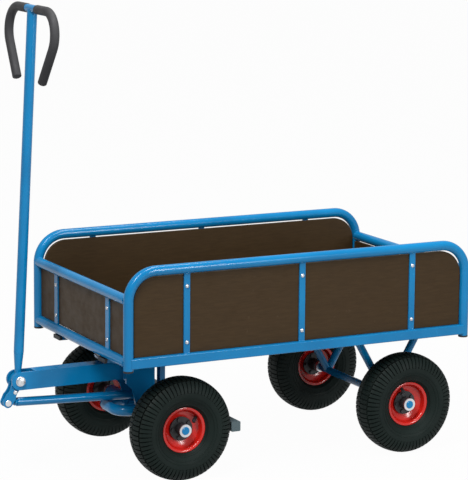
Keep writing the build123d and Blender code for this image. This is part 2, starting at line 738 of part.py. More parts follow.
def rim_bolts(middle, out):
    grip = 2 * (RIM_SHEET + HUB_FLANGE_T)
    with BuildPart() as piece:
        with BuildSketch(across(middle.X, middle.Z, middle.Y + out * grip / 2)):
            with PolarLocations(RIM_BOLT_RING_R, RIM_BOLT_COUNT):
                RegularPolygon(BOLT_HEX_R, 6)
        extrude(amount=out * BOLT_HEAD_H)
        with BuildSketch(across(middle.X, middle.Z, middle.Y - out * grip / 2)):
            with PolarLocations(RIM_BOLT_RING_R, RIM_BOLT_COUNT):
                RegularPolygon(BOLT_HEX_R, 6)
        extrude(amount=-out * BOLT_NUT_H)
        with BuildSketch(across(middle.X, middle.Z, middle.Y - out * grip / 2)):
            with PolarLocations(RIM_BOLT_RING_R, RIM_BOLT_COUNT):
                Circle(BOLT_R)
        extrude(amount=out * grip)
    return piece


for wheel, x, y, out, turn in (
    ("front_left", FRONT_AXLE_X, FRONT_WHEEL_Y, 1, -146),
    ("front_right", FRONT_AXLE_X, FRONT_WHEEL_Y, -1, -40),
    ("rear_left", REAR_AXLE_X, REAR_WHEEL_Y, 1, -71),
    ("rear_right", REAR_AXLE_X, REAR_WHEEL_Y, -1, 160),
):
    middle = Vector(x, out * y, WHEEL_R)
    spin = Axis(middle, (0, 1, 0))
    save(tyre(middle, spin), f"{wheel}_tyre")
    save(inner_tube(middle, spin, out, turn), f"{wheel}_inner_tube")
    save(rim(middle, spin, out, turn), f"{wheel}_rim")
    save(hub(middle, spin, out), f"{wheel}_hub")
    save(rim_bolts(middle, out), f"{wheel}_rim_bolts")

# Drawbar arm: two plates and a top web that reach forward from the bogie to the pivot
arm_back = FRONT_AXLE_X + ARM_BACK
arm_length = PIVOT_X - arm_back
with BuildPart() as drawbar_arm:
    for side in SIDES:
        with BuildSketch(across(PIVOT_X, PIVOT_Z, side * ARM_GAP)):
            Circle(ARM_H / 2)
            with Locations((-arm_length / 2, 0)):
                Rectangle(arm_length, ARM_H)
            Circle(PIVOT_R + RUN_GAP, mode=Mode.SUBTRACT)
        extrude(amount=side * ARM_PLATE)
    web_back = FRONT_AXLE_X + ARM_WEB_BACK
    web_length = PIVOT_X - ARM_WEB_SETBACK - web_back
    with Locations((web_back + web_length / 2, 0, PIVOT_Z + ARM_H / 2 - ARM_PLATE / 2)):
        Box(web_length, 2 * ARM_GAP, ARM_PLATE)
save(drawbar_arm, "drawbar_arm")

# Plane of the handle: its own x runs across the cart, its own y up the leaning drawbar
DRAWBAR = Plane(
    origin=(PIVOT_X, 0, PIVOT_Z),
    x_dir=(0, 1, 0),
    z_dir=(cos(radians(LEAN)), 0, sin(radians(LEAN))),
)
DRAWBAR_AXIS = Axis(DRAWBAR.origin, DRAWBAR.y_dir)

# Drawbar tube: round tube, swaged at its foot and coped to boss and cross bar
with BuildPart() as drawbar_tube:
    with BuildSketch(DRAWBAR):
        with BuildLine():
            Polyline(
                (FOOT_R - TUBE_WALL, 0),
                (FOOT_R, 0),
                (FOOT_R, FOOT_TAPER[0]),
                (TUBE_R, FOOT_TAPER[1]),
                (TUBE_R, HANDLE_H - 2),
                (TUBE_R - TUBE_WALL, HANDLE_H - 2),
                (TUBE_R - TUBE_WALL, FOOT_TAPER[1]),
                (FOOT_R - TUBE_WALL, FOOT_TAPER[0]),
                close=True,
            )
        make_face()
    revolve(axis=DRAWBAR_AXIS)
    with Locations(Location(DRAWBAR.origin, (90, 0, 0))):
        Cylinder(BOSS_R + WELD_GAP, 4 * BOSS_R, mode=Mode.SUBTRACT)
    with Locations(Location(DRAWBAR.origin + DRAWBAR.y_dir * HANDLE_H, (90, 0, 0))):
        Cylinder(HANDLE_R + WELD_GAP, 4 * BOSS_R, mode=Mode.SUBTRACT)
save(drawbar_tube, "drawbar_tube")

# Drawbar foot: pivot boss with the two cheeks of the brake lever
with BuildPart() as drawbar_foot:
    with BuildSketch(across(PIVOT_X, PIVOT_Z, -LEVER_OUTER)):
        Circle(BOSS_R)
    extrude(amount=2 * LEVER_OUTER)
    lever = (LEVER_X - PIVOT_X, PIVOT_Z - LEVER_Z)
    lever_middle = Location((lever[0] / 2, lever[1] / 2, 0), (0, 0, degrees(atan2(lever[1], lever[0]))))
    hollow = LEVER_WAIST + LEVER_WAIST_R
    for side in SIDES:
        with BuildSketch(across(PIVOT_X, PIVOT_Z, side * LEVER_INNER)):
            Circle(BOSS_R)
            with Locations(lever):
                Circle(LEVER_R)
            make_hull()
            with Locations(lever_middle):
                with Locations((0, hollow), (0, -hollow)):
                    Circle(LEVER_WAIST_R, mode=Mode.SUBTRACT)
        extrude(amount=side * (LEVER_OUTER - LEVER_INNER))
    for x, z, r in (
        (PIVOT_X, PIVOT_Z, PIVOT_R),
        (LEVER_X, LEVER_Z, LEVER_PIN_R),
        (LEVER_BOLT_X, LEVER_BOLT_Z, BOLT_R),
    ):
        with Locations(Location((x, 0, z), (90, 0, 0))):
            Cylinder(r + WELD_GAP, 4 * LEVER_OUTER, mode=Mode.SUBTRACT)
save(drawbar_foot, "drawbar_foot")

# Drawbar bolts: hexagon pivot bolt with nut, flat-headed lever pin and lever bolt
arm_outer = ARM_GAP + ARM_PLATE + FACE_GAP
pin_outer = LEVER_OUTER + PIN_HEAD_T
with BuildPart() as drawbar_bolts:
    for face in SIDES:
        with BuildSketch(across(PIVOT_X, PIVOT_Z, face * arm_outer)):
            RegularPolygon(PIVOT_HEX_R, 6)
        extrude(amount=face * PIVOT_HEX_H)
    with BuildSketch(across(PIVOT_X, PIVOT_Z, -arm_outer - PIVOT_TAIL)):
        Circle(PIVOT_R)
    extrude(amount=2 * arm_outer + PIVOT_TAIL)
    for x, z, r, head in (
        (LEVER_X, LEVER_Z, LEVER_PIN_R, PIN_HEAD_R),
        (LEVER_BOLT_X, LEVER_BOLT_Z, BOLT_R, LEVER_BOLT_HEAD_R),
    ):
        with BuildSketch(across(x, z, -pin_outer)):
            Circle(r)
        extrude(amount=2 * pin_outer)
        for face in SIDES:
            with BuildSketch(across(x, z, face * LEVER_OUTER)):
                Circle(head)
            extrude(amount=face * (pin_outer - LEVER_OUTER))
save(drawbar_bolts, "drawbar_bolts")

# Handle bar: cross bar bent down and in again at both ends
with BuildPart() as handle_bar:
    with BuildLine(DRAWBAR) as route:
        FilletPolyline(
            (-TAIL_END_Y, HANDLE_H - TAIL_DROP),
            (-HANDLE_CORNER_Y, HANDLE_H),
            (HANDLE_CORNER_Y, HANDLE_H),
            (TAIL_END_Y, HANDLE_H - TAIL_DROP),
            radius=HANDLE_BEND_R,
        )
    with BuildSketch(Plane(origin=route.line @ 0, z_dir=route.line % 0)):
        Circle(HANDLE_R)
        Circle(HANDLE_R - TUBE_WALL, mode=Mode.SUBTRACT)
    sweep()
save(handle_bar, "handle_bar")


# Grips: soft sleeves over the two bent ends of the handle, closed at their tips
def grip(side):
    with BuildPart() as piece:
        with BuildLine(DRAWBAR) as route:
            FilletPolyline(
                (side * GRIP_START_Y, HANDLE_H),
                (side * HANDLE_CORNER_Y, HANDLE_H),
                (side * TAIL_END_Y, HANDLE_H - TAIL_DROP),
                radius=HANDLE_BEND_R,
            )
        tip = Plane(origin=route.line @ 1, z_dir=route.line % 1)
        with BuildSketch(Plane(origin=route.line @ 0, z_dir=route.line % 0)):
            Circle(GRIP_R)
            Circle(HANDLE_R + WELD_GAP, mode=Mode.SUBTRACT)
        sweep()
        with BuildSketch(tip):
            Circle(GRIP_R)
        extrude(amount=GRIP_CAP, taper=GRIP_CAP_TAPER)
    return piece


save(grip(1), "grip_left")
save(grip(-1), "grip_right")

# Brake shaft: pin in the bogie's lugs that the brake hangers turn on
with BuildPart() as brake_shaft:
    with BuildSketch(across(SHAFT_X, SHAFT_Z, -SHAFT_HALF)):
        Circle(SHAFT_R)
    extrude(amount=2 * SHAFT_HALF)
save(brake_shaft, "brake_shaft")

# Brake arms: two flat hangers from the shaft down and back to the bar, with the rod between them
ROD_PIN_Z = SHAFT_Z - ROD_DROP
foot_shift = BAR_X + BAR / 2 + WELD_GAP + HANGER_FOOT[0] / 2 - SHAFT_X
with BuildPart() as brake_arms:
    for side in SIDES:
        with BuildSketch(across(SHAFT_X, SHAFT_Z, side * HANGER_Y)):
            with Locations((0, ROD_DROP)):
                Circle(HANGER_LUG_R)
            with Locations((foot_shift, SHAFT_Z - BAR_Z)):
                Rectangle(*HANGER_FOOT)
            make_hull()
            with Locations((0, ROD_DROP / 2)):
                Rectangle(HANGER_W, ROD_DROP)
            with Locations((0, ROD_DROP)):
                Circle(LEVER_PIN_R + WELD_GAP, mode=Mode.SUBTRACT)
            Circle(HANGER_HUB_R)
            Circle(SHAFT_R + RUN_GAP, mode=Mode.SUBTRACT)
        extrude(amount=side * HANGER_T)
save(brake_arms, "brake_arms")

# Brake rod pin: headed pin through the two hangers
with BuildPart() as brake_rod_pin:
    hanger_outer = HANGER_Y + HANGER_T
    with BuildSketch(across(SHAFT_X, ROD_PIN_Z, -hanger_outer - ROD_PIN_TAIL)):
        Circle(LEVER_PIN_R)
    extrude(amount=2 * (hanger_outer + ROD_PIN_TAIL))
    for face in SIDES:
        with BuildSketch(across(SHAFT_X, ROD_PIN_Z, face * hanger_outer)):
            Circle(PIN_HEAD_R)
        extrude(amount=face * ROD_PIN_HEAD_T)
save(brake_rod_pin, "brake_rod_pin")

# Brake bar: square tube close behind both front treads
with BuildPart() as brake_bar:
    with BuildSketch(side_plane(BAR_X, BAR_HALF, BAR_Z)):
        RectangleRounded(BAR, BAR, RAIL_CORNER)
        Rectangle(BAR - 2 * BAR_WALL, BAR - 2 * BAR_WALL, mode=Mode.SUBTRACT)
    extrude(amount=2 * BAR_HALF)
save(brake_bar, "brake_bar")

# Brake bar caps: plastic plugs in the ends of the bar
with BuildPart() as brake_bar_caps:
    for side in SIDES:
        with BuildSketch(across(BAR_X, BAR_Z, side * BAR_HALF)):
            RectangleRounded(BAR, BAR, RAIL_CORNER)
        extrude(amount=side * BAR_CAP_T)
        with BuildSketch(across(BAR_X, BAR_Z, side * BAR_HALF)):
            Rectangle(BAR - 2 * BAR_WALL - 2 * WELD_GAP, BAR - 2 * BAR_WALL - 2 * WELD_GAP)
        extrude(amount=-side * CAP_PLUG_H)
save(brake_bar_caps, "brake_bar_caps")

# Brake rod: planes along it, from the lever's pin back to the brake's pin
lever_pin = Vector(LEVER_X, 0, LEVER_Z)
brake_pin = Vector(SHAFT_X, 0, ROD_PIN_Z)
rod_length = (brake_pin - lever_pin).length
rod_back = (brake_pin - lever_pin).normalized()
ROD = Plane(origin=lever_pin, x_dir=(0, 1, 0), z_dir=rod_back)
rod_side = Plane(origin=brake_pin, x_dir=rod_back, z_dir=(0, 1, 0))
tube_end = rod_length - ROD_BACK
with BuildPart() as brake_rod:
    with BuildSketch(ROD.offset(ROD_FRONT)):
        Circle(ROD_R)
        Circle(LEVER_PIN_R + WELD_GAP, mode=Mode.SUBTRACT)
    extrude(amount=tube_end - ROD_FRONT)
    with BuildSketch(ROD.offset(ROD_FRONT + ROD_SOLID)):
        Circle(ROD_R - ROD_WALL)
    extrude(amount=tube_end - ROD_FRONT - ROD_SOLID, mode=Mode.SUBTRACT)
    with BuildSketch(rod_side.offset(-ROD_PLATE_T / 2)):
        with Locations(SLOT_SHIFT):
            Circle(ROD_PLATE_R)
        with Locations((-ROD_BACK / 2, SLOT_SHIFT[1] / 2)):
            Rectangle(ROD_BACK + 2 * ROD_PLATE_LAP, ROD_PLATE_H)
        with Locations(SLOT_SHIFT):
            RectangleRounded(SLOT_W, SLOT_H, SLOT_CORNER, mode=Mode.SUBTRACT)
    extrude(amount=ROD_PLATE_T)
save(brake_rod, "brake_rod")

# Rod eye: threaded eye bolt on the lever's pin
with BuildPart() as rod_eye:
    with BuildSketch(across(LEVER_X, LEVER_Z, -LEVER_INNER + FACE_GAP)):
        Circle(2 * LEVER_PIN_R)
    extrude(amount=2 * (LEVER_INNER - FACE_GAP))
    with BuildSketch(ROD):
        Circle(LEVER_PIN_R)
    extrude(amount=ROD_FRONT + ROD_THREAD)
    with Locations(Location(lever_pin, (90, 0, 0))):
        Cylinder(LEVER_PIN_R + RUN_GAP, 4 * LEVER_PIN_R, mode=Mode.SUBTRACT)
save(rod_eye, "rod_eye")

# Rod nut: lock nut that fixes the eye in the rod
with BuildPart() as rod_nut:
    with BuildSketch(ROD.offset(ROD_FRONT - ROD_NUT_H)):
        RegularPolygon(ROD_NUT_R, 6)
        Circle(LEVER_PIN_R + WELD_GAP, mode=Mode.SUBTRACT)
    extrude(amount=ROD_NUT_H)
save(rod_nut, "rod_nut")
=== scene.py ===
import json
import math

import bmesh
import bpy
from mathutils import Matrix, Vector


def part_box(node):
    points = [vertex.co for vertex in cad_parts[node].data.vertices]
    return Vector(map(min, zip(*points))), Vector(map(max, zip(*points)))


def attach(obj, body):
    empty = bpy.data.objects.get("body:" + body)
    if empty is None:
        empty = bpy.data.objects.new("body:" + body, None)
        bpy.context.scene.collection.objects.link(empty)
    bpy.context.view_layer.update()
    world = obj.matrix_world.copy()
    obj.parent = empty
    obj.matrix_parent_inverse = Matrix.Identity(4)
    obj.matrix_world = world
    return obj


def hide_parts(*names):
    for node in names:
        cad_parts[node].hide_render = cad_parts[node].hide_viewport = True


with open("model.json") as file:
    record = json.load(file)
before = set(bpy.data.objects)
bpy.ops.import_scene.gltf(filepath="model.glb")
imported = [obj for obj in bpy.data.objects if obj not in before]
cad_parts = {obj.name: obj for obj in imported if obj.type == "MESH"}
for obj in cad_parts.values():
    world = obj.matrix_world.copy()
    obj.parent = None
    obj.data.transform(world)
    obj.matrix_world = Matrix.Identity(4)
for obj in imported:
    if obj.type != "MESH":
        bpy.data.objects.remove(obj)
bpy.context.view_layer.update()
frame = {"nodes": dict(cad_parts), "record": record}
nodes = frame["nodes"]

# Bed frame. Bent round tubes make the side walls, round and square tubes the rails between them.
# All of it is welded mild steel under one blue powder coat with a fine orange-peel skin, and only
# a trace of dust on upward faces and a few dulled rubs show use.
MM = 0.001
BLUE_DEEP = (0.0015, 0.148, 0.350)
BLUE_BRIGHT = (0.0030, 0.188, 0.425)
BLUE_RUB = (0.012, 0.220, 0.460)
COAT_DUST = (0.16, 0.17, 0.17)
SKIN_NOISES = (    # name, scale, detail, and the two levels that become 0 and 1
    ("Tone", 6.0, 3.0, 0.32, 0.68),
    ("Peel", 620.0, 1.5, 0.2, 0.8),
    ("Gloss", 34.0, 4.0, 0.3, 0.7),
    ("Rub", 70.0, 7.0, 0.68, 0.76),
    ("Dust", 22.0, 6.0, 0.40, 0.75),
)
DUST_SLOPE = 0.55
RUB_SHARE = 0.7
PEEL_DEPTH = 0.5 * MM
COAT_ROUGHNESS = 0.06


def coat_skin_group():
    """Uneven tone, orange peel, patchy gloss, rub marks and settled dust of a coat."""
    group = bpy.data.node_groups.new("coat_skin", "ShaderNodeTree")
    for name, *_ in SKIN_NOISES:
        group.interface.new_socket(name, in_out="OUTPUT", socket_type="NodeSocketFloat")
    place = group.nodes.new("ShaderNodeTexCoord")
    result = group.nodes.new("NodeGroupOutput")
    spread = {}
    for name, scale, detail, low, high in SKIN_NOISES:
        noise = group.nodes.new("ShaderNodeTexNoise")
        noise.inputs["Scale"].default_value = scale
        noise.inputs["Detail"].default_value = detail
        span = group.nodes.new("ShaderNodeMapRange")
        span.inputs["From Min"].default_value = low
        span.inputs["From Max"].default_value = high
        group.links.new(place.outputs["Object"], noise.inputs["Vector"])
        group.links.new(noise.outputs["Fac"], span.inputs["Value"])
        spread[name] = span.outputs["Result"]
    normal = group.nodes.new("ShaderNodeSeparateXYZ")
    upward = group.nodes.new("ShaderNodeMapRange")
    upward.inputs["From Min"].default_value = DUST_SLOPE
    settled = group.nodes.new("ShaderNodeMath")
    settled.operation = "MULTIPLY"
    group.links.new(place.outputs["Normal"], normal.inputs["Vector"])
    group.links.new(normal.outputs["Z"], upward.inputs["Value"])
    group.links.new(upward.outputs["Result"], settled.inputs[0])
    group.links.new(spread["Dust"], settled.inputs[1])
    spread["Dust"] = settled.outputs["Value"]
    for name, value in spread.items():
        group.links.new(value, result.inputs[name])
    return group


coat_skin = coat_skin_group()


def mixed(tree, factor, first, second, amount=1.0):
    """Mix of two colours; each is a colour or a socket. The factor is scaled by the amount."""
    mix = tree.nodes.new("ShaderNodeMix")
    mix.data_type = "RGBA"
    share = tree.nodes.new("ShaderNodeMath")
    share.operation = "MULTIPLY"
    share.inputs[1].default_value = amount
    tree.links.new(factor, share.inputs[0])
    tree.links.new(share.outputs["Value"], mix.inputs["Factor"])
    for socket, colour in (("A", first), ("B", second)):
        if isinstance(colour, tuple):
            mix.inputs[socket].default_value = (*colour, 1)
        else:
            tree.links.new(colour, mix.inputs[socket])
    return mix.outputs["Result"]


def spanned(tree, value, low, high, start=0.0, end=1.0):
    """Value moved from the span start to end into the span low to high."""
    span = tree.nodes.new("ShaderNodeMapRange")
    for socket, number in (("From Min", start), ("From Max", end), ("To Min", low), ("To Max", high)):
        span.inputs[socket].default_value = number
    tree.links.new(value, span.inputs["Value"])
    return span.outputs["Result"]


def bumped(tree, height, strength, distance):
    """Normal of a surface that a height makes uneven."""
    bump = tree.nodes.new("ShaderNodeBump")
    bump.inputs["Strength"].default_value = strength
    bump.inputs["Distance"].default_value = distance
    tree.links.new(height, bump.inputs["Height"])
    return bump.outputs["Normal"]


def new_finish(name):
    """New material with its node tree and its shader."""
    material = bpy.data.materials.new(name)
    material.use_nodes = True
    return material, material.node_tree, material.node_tree.nodes["Principled BSDF"]


def coated(name, tones, gloss, shine=0.3, coat=0.0, metal=0.0, dust=0.10, peel=0.10):
    """A coat or skin with uneven tone, rubs, dust, patchy gloss and orange peel."""
    deep, bright, rub = tones
    material, tree, shader = new_finish(name)
    skin = tree.nodes.new("ShaderNodeGroup")
    skin.node_tree = coat_skin
    tone = mixed(tree, skin.outputs["Tone"], deep, bright)
    worn = mixed(tree, skin.outputs["Rub"], tone, rub, RUB_SHARE)
    dusty = mixed(tree, skin.outputs["Dust"], worn, COAT_DUST, dust)
    tree.links.new(dusty, shader.inputs["Base Color"])
    tree.links.new(spanned(tree, skin.outputs["Gloss"], *gloss), shader.inputs["Roughness"])
    tree.links.new(bumped(tree, skin.outputs["Peel"], peel, PEEL_DEPTH), shader.inputs["Normal"])
    shader.inputs["Specular IOR Level"].default_value = shine
    shader.inputs["Coat Weight"].default_value = coat
    shader.inputs["Coat Roughness"].default_value = COAT_ROUGHNESS
    shader.inputs["Metallic"].default_value = metal
    return material


def dress(material, *names):
    """Gives CAD nodes a finish."""
    for name in names:
        nodes[name].data.materials.clear()
        nodes[name].data.materials.append(material)


blue_coat = coated(
    "blue_coat", (BLUE_DEEP, BLUE_BRIGHT, BLUE_RUB), gloss=(0.12, 0.22), shine=0.27, dust=0.03
)
dress(blue_coat, "side_tube_left", "side_tube_right", "side_rails", "end_top_rails", "end_bottom_rails")
dress(blue_coat, "wall_posts", "under_frame")

# Leg plugs. Black moulded plastic plugs close the open lower ends of the legs and the front ends
# of the flat carriers. They are pressed in, and their rims stand a little proud of the tube. The black
# of the carrier plugs is partly their own colour and partly painted shade under the front of the bed.
PLUG_BLACK = (0.010, 0.011, 0.014)
PLUG_GREY = (0.018, 0.019, 0.023)
PLUG_RUB = (0.04, 0.04, 0.045)
black_plastic = coated("black_plastic", (PLUG_BLACK, PLUG_GREY, PLUG_RUB), gloss=(0.42, 0.6))
# The black of the carrier plugs in these caps is partly painted shade under the front of the bed.
dress(black_plastic, "leg_caps")

# Wall and floor boards. Plywood with a dark brown resin film, cut to the frame and screwed to the
# straps. The dull film shows faint wood grain, and the cut edges show the plies.
FILM_DEEP = (0.036, 0.0210, 0.0085)
FILM_BRIGHT = (0.044, 0.0260, 0.0108)
FILM_RUB = (0.058, 0.038, 0.019)
PLY_LIGHT = (0.150, 0.085, 0.040)
PLY_DARK = (0.055, 0.030, 0.015)
PLY_STEP = 1.8 * MM
PLY_LEVELS = (0.35 * PLY_STEP, 0.65 * PLY_STEP)
PLY_SHARE = 0.8
EDGE_LEVELS = (0.4, 0.6)
FIBRE_SCALE = 5.0
FIBRE_DETAIL = 8.0
FIBRE_WAVE = 0.6
FIBRE_LEVELS = (0.35, 0.68)
FIBRE_BUMP = 0.06
FIBRE_DEPTH = 0.6 * MM
FILM_RUB_SHARE = 0.6
FILM_DUST = 0.12
FILM_ROUGHNESS = (0.42, 0.58)
FILM_SHINE = 0.12
BOARDS = (    # name, axis of the thickness, stretch of the grain, and the CAD nodes
    ("side_board", "Y", (6.0, 1.0, 46.0), ("side_panel_left", "side_panel_right")),
    ("end_board", "X", (1.0, 6.0, 46.0), ("front_panel", "rear_panel")),
    ("base_board", "Z", (6.0, 46.0, 1.0), ("floor_board",)),
)


def film_board(name, thickness_axis, grain):
    """Brown film over wood grain on the faces, layered plies on the edges."""
    material, tree, shader = new_finish(name)
    skin = tree.nodes.new("ShaderNodeGroup")
    skin.node_tree = coat_skin
    place = tree.nodes.new("ShaderNodeTexCoord")
    stretch = tree.nodes.new("ShaderNodeMapping")
    stretch.inputs["Scale"].default_value = grain
    fibre = tree.nodes.new("ShaderNodeTexNoise")
    fibre.inputs["Scale"].default_value = FIBRE_SCALE
    fibre.inputs["Detail"].default_value = FIBRE_DETAIL
    fibre.inputs["Distortion"].default_value = FIBRE_WAVE
    tree.links.new(place.outputs["Object"], stretch.inputs["Vector"])
    tree.links.new(stretch.outputs["Vector"], fibre.inputs["Vector"])
    grain_mask = spanned(tree, fibre.outputs["Fac"], 0.0, 1.0, *FIBRE_LEVELS)
    film = mixed(tree, grain_mask, FILM_DEEP, FILM_BRIGHT)
    film = mixed(tree, skin.outputs["Rub"], film, FILM_RUB, FILM_RUB_SHARE)
    film = mixed(tree, skin.outputs["Dust"], film, COAT_DUST, FILM_DUST)
    depth = tree.nodes.new("ShaderNodeSeparateXYZ")
    layer = tree.nodes.new("ShaderNodeMath")
    layer.operation = "PINGPONG"
    layer.inputs[1].default_value = PLY_STEP
    tree.links.new(place.outputs["Object"], depth.inputs["Vector"])
    tree.links.new(depth.outputs[thickness_axis], layer.inputs[0])
    ply_mask = spanned(tree, layer.outputs["Value"], 0.0, 1.0, *PLY_LEVELS)
    plies = mixed(tree, ply_mask, PLY_DARK, PLY_LIGHT)
    normal = tree.nodes.new("ShaderNodeSeparateXYZ")
    size = tree.nodes.new("ShaderNodeMath")
    size.operation = "ABSOLUTE"
    tree.links.new(place.outputs["Normal"], normal.inputs["Vector"])
    tree.links.new(normal.outputs[thickness_axis], size.inputs[0])
    edge = spanned(tree, size.outputs["Value"], 1.0, 0.0, *EDGE_LEVELS)
    tree.links.new(mixed(tree, edge, film, plies, PLY_SHARE), shader.inputs["Base Color"])
    tree.links.new(spanned(tree, skin.outputs["Gloss"], *FILM_ROUGHNESS), shader.inputs["Roughness"])
    tree.links.new(bumped(tree, fibre.outputs["Fac"], FIBRE_BUMP, FIBRE_DEPTH), shader.inputs["Normal"])
    shader.inputs["Specular IOR Level"].default_value = FILM_SHINE
    return material


for board, axis, grain, panels in BOARDS:
    dress(film_board(board, axis, grain), *panels)

# Panel screws. Round-headed zinc plated screws with a socket, two through each strap into the
# plywood behind it. Their heads are turned and sit flat on the straps.
ZINC_DEEP = (0.50, 0.51, 0.53)
ZINC_BRIGHT = (0.68, 0.69, 0.71)
ZINC_RUB = (0.40, 0.39, 0.37)
SCREW_HEAD = (
    (0, 0), (5.0, 0), (5.0, 0.6), (4.7, 1.4), (3.9, 2.2),
    (2.9, 2.65), (2.1, 2.8), (1.9, 2.7), (1.8, 1.2), (0, 1.0),
)
SCREW_STEPS = 20
MERGE_DIST = 1e-6
strap_low, strap_high = ([v / MM for v in corner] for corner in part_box("wall_posts"))
BED_X = (strap_low[0] + strap_high[0]) / 2
END_FACE_X = (strap_high[0] - strap_low[0]) / 2
SIDE_FACE_Y = strap_high[1]
POST_SHIFT = 2.5
POST_STEP = 318
SIDE_POST_XS = [BED_X + POST_SHIFT + step * POST_STEP for step in (-1, 0, 1)]
SIDE_SCREW_ZS = (496, 357)
END_POST_YS = (-159, 159)
END_SCREW_ZS = (432.5, 353.5)
zinc = coated(
    "zinc", (ZINC_DEEP, ZINC_BRIGHT, ZINC_RUB), gloss=(0.22, 0.38), shine=0.5, metal=0.9, dust=0.06
)


def turned(shape, outline, place, steps, closed=False):
    """Spins an outline of (radius, height) points in mm round the z axis and moves it to its place."""
    points = [shape.verts.new((r * MM, 0, h * MM)) for r, h in outline]
    pairs = list(zip(points, points[1:] + points[:1] if closed else points[1:]))
    edges = [shape.edges.new(pair) for pair in pairs]
    before = set(shape.verts) - set(points)
    bmesh.ops.spin(
        shape, geom=points + edges, cent=(0, 0, 0), axis=(0, 0, 1),
        angle=2 * math.pi, steps=steps, use_merge=True,
    )
    made = [v for v in shape.verts if v not in before]
    bmesh.ops.remove_doubles(shape, verts=made, dist=MERGE_DIST)
    made = [v for v in shape.verts if v not in before]
    bmesh.ops.transform(shape, matrix=place, verts=made)
    return made


def facing(point, direction):
    """Placement whose z axis points along a direction, at a point in mm."""
    turn = Vector(direction).to_track_quat("Z", "Y").to_matrix().to_4x4()
    return Matrix.Translation(Vector(point) * MM) @ turn


def piece_from(name, shape, material, crease=32):
    """Closes a mesh up, shades it smooth between its edges and makes it an object."""
    bmesh.ops.remove_doubles(shape, verts=shape.verts, dist=MERGE_DIST)
    bmesh.ops.recalc_face_normals(shape, faces=shape.faces)
    mesh = bpy.data.meshes.new(name)
    shape.to_mesh(mesh)
    shape.free()
    mesh.shade_smooth()
    mesh.set_sharp_from_angle(angle=math.radians(crease))
    mesh.materials.append(material)
    piece = bpy.data.objects.new(name, mesh)
    bpy.context.scene.collection.objects.link(piece)
    return piece


shape = bmesh.new()
for side in (1, -1):
    for z in SIDE_SCREW_ZS:
        for x in SIDE_POST_XS:
            turned(shape, SCREW_HEAD, facing((x, side * SIDE_FACE_Y, z), (0, side, 0)), SCREW_STEPS)
    for z in END_SCREW_ZS:
        for y in END_POST_YS:
            end_face = BED_X + side * END_FACE_X
            turned(shape, SCREW_HEAD, facing((end_face, y, z), (side, 0, 0)), SCREW_STEPS)
screws = piece_from("panel_screw_heads", shape, zinc)
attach(screws, "chassis")
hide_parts("panel_screws")

# Rear axle and its struts. A round bar carries the rear wheels, and a mitred V of round tube on
# each side ties it to the cross members. Bar and tubes have the blue coat, the end rings are zinc.
dress(blue_coat, "rear_axle", "rear_struts")
dress(zinc, "rear_axle_rings")

# Turntable. Two flat pressed rings with greased balls between them turn about the kingpin.
# The rings are bare steel with a dark film of grease, and the kingpin is zinc plated.
GREASE_TONES = ((0.10, 0.10, 0.10), (0.20, 0.20, 0.21), (0.05, 0.045, 0.04))
greased_steel = coated("greased_steel", GREASE_TONES, gloss=(0.3, 0.5), shine=0.5, metal=0.9)
dress(greased_steel, "turntable_upper_ring", "turntable_lower_ring", "turntable_balls")
dress(zinc, "kingpin")

# Bogie. A disc under the turntable, two cheek plates, a round axle beam with a bent tube in front
# of it and the forked arm for the drawbar are welded up and coated blue. The axle's rings are zinc.
dress(blue_coat, "bogie_plate", "bogie_cheeks", "front_axle", "drawbar_arm")
dress(zinc, "front_axle_rings")

# Tyres. Black moulded rubber with a block tread: a row of bars on each shoulder, two staggered rows
# of blocks on the crown, plain sidewalls with two ribs above the rim, and dust in the grooves.
JOINT_PLACES = {
    joint["name"]: [v / MM for v in joint["pos_m"]] for joint in frame["record"]["behaviour"]["joints"]
}
WHEELS = [
    (wheel, JOINT_PLACES[f"{wheel}_spin"], side)
    for wheel, side in (("front_left", 1), ("front_right", -1), ("rear_left", 1), ("rear_right", -1))
]
TYRE_HALF = (    # (radius, distance from the middle) round half of the section, crown first
    (127.3, 1.1), (126.9, 9.0), (125.7, 18.0), (123.4, 25.0),
    (121.6, 27.4), (116.5, 31.8), (111.5, 35.2), (106.5, 37.9), (101.5, 39.8), (96.5, 41.2),
    (95.6, 41.9), (90.0, 42.0), (84.6, 41.2), (84.2, 41.9), (82.6, 41.5), (82.2, 40.5),
    (77.4, 38.9), (77.0, 39.6), (75.6, 38.9), (75.2, 37.8), (70.0, 34.6),
    (66.4, 32.0), (65.4, 32.2), (63.4, 30.6), (62.6, 28.6), (57.8, 22.8),
    (51.0, 20.4), (51.0, 11.4), (58.0, 12.4), (70.0, 28.5), (88.0, 34.5), (108.0, 24.0), (118.0, 6.0),
)
TREAD_STEPS = 264
TREAD_PITCH = 4
CROWN_EDGES = (1.1, 25.0)
SHOULDER_EDGES = (27.4, 41.3)
SECTION_R = 86
LUG_H = 2.6
LUG_FADE = (95.9, 114.0)
LUG_LEAST = 0.12
TYRE_CREASE = 24
RUBBER_DEEP = (0.0030, 0.0075, 0.0064)
RUBBER_BRIGHT = (0.0052, 0.0110, 0.0094)
RUBBER_DUST = (0.010, 0.0142, 0.0128)
RUBBER_ROUGHNESS = (0.50, 0.68)
RUBBER_GRAIN = 0.25
RUBBER_GRAIN_DEPTH = 0.4 * MM
RUBBER_SHINE = 0.14
GROOVE_RISE = (0.116, 0.125)
GROOVE_FALL = (0.1265, 0.1290)
GROOVE_DUST = 0.45
SPECKLE_DUST = 0.5


def raised(step, across):
    """Whether the tread stands up at a step round the wheel and a distance from its middle."""
    side = 1 if across > 0 else 0
    if CROWN_EDGES[0] < abs(across) < CROWN_EDGES[1]:
        return (step + side) % TREAD_PITCH != 0
    if SHOULDER_EDGES[0] < abs(across) < SHOULDER_EDGES[1]:
        return (step + side + 1) % TREAD_PITCH != 0
    return False


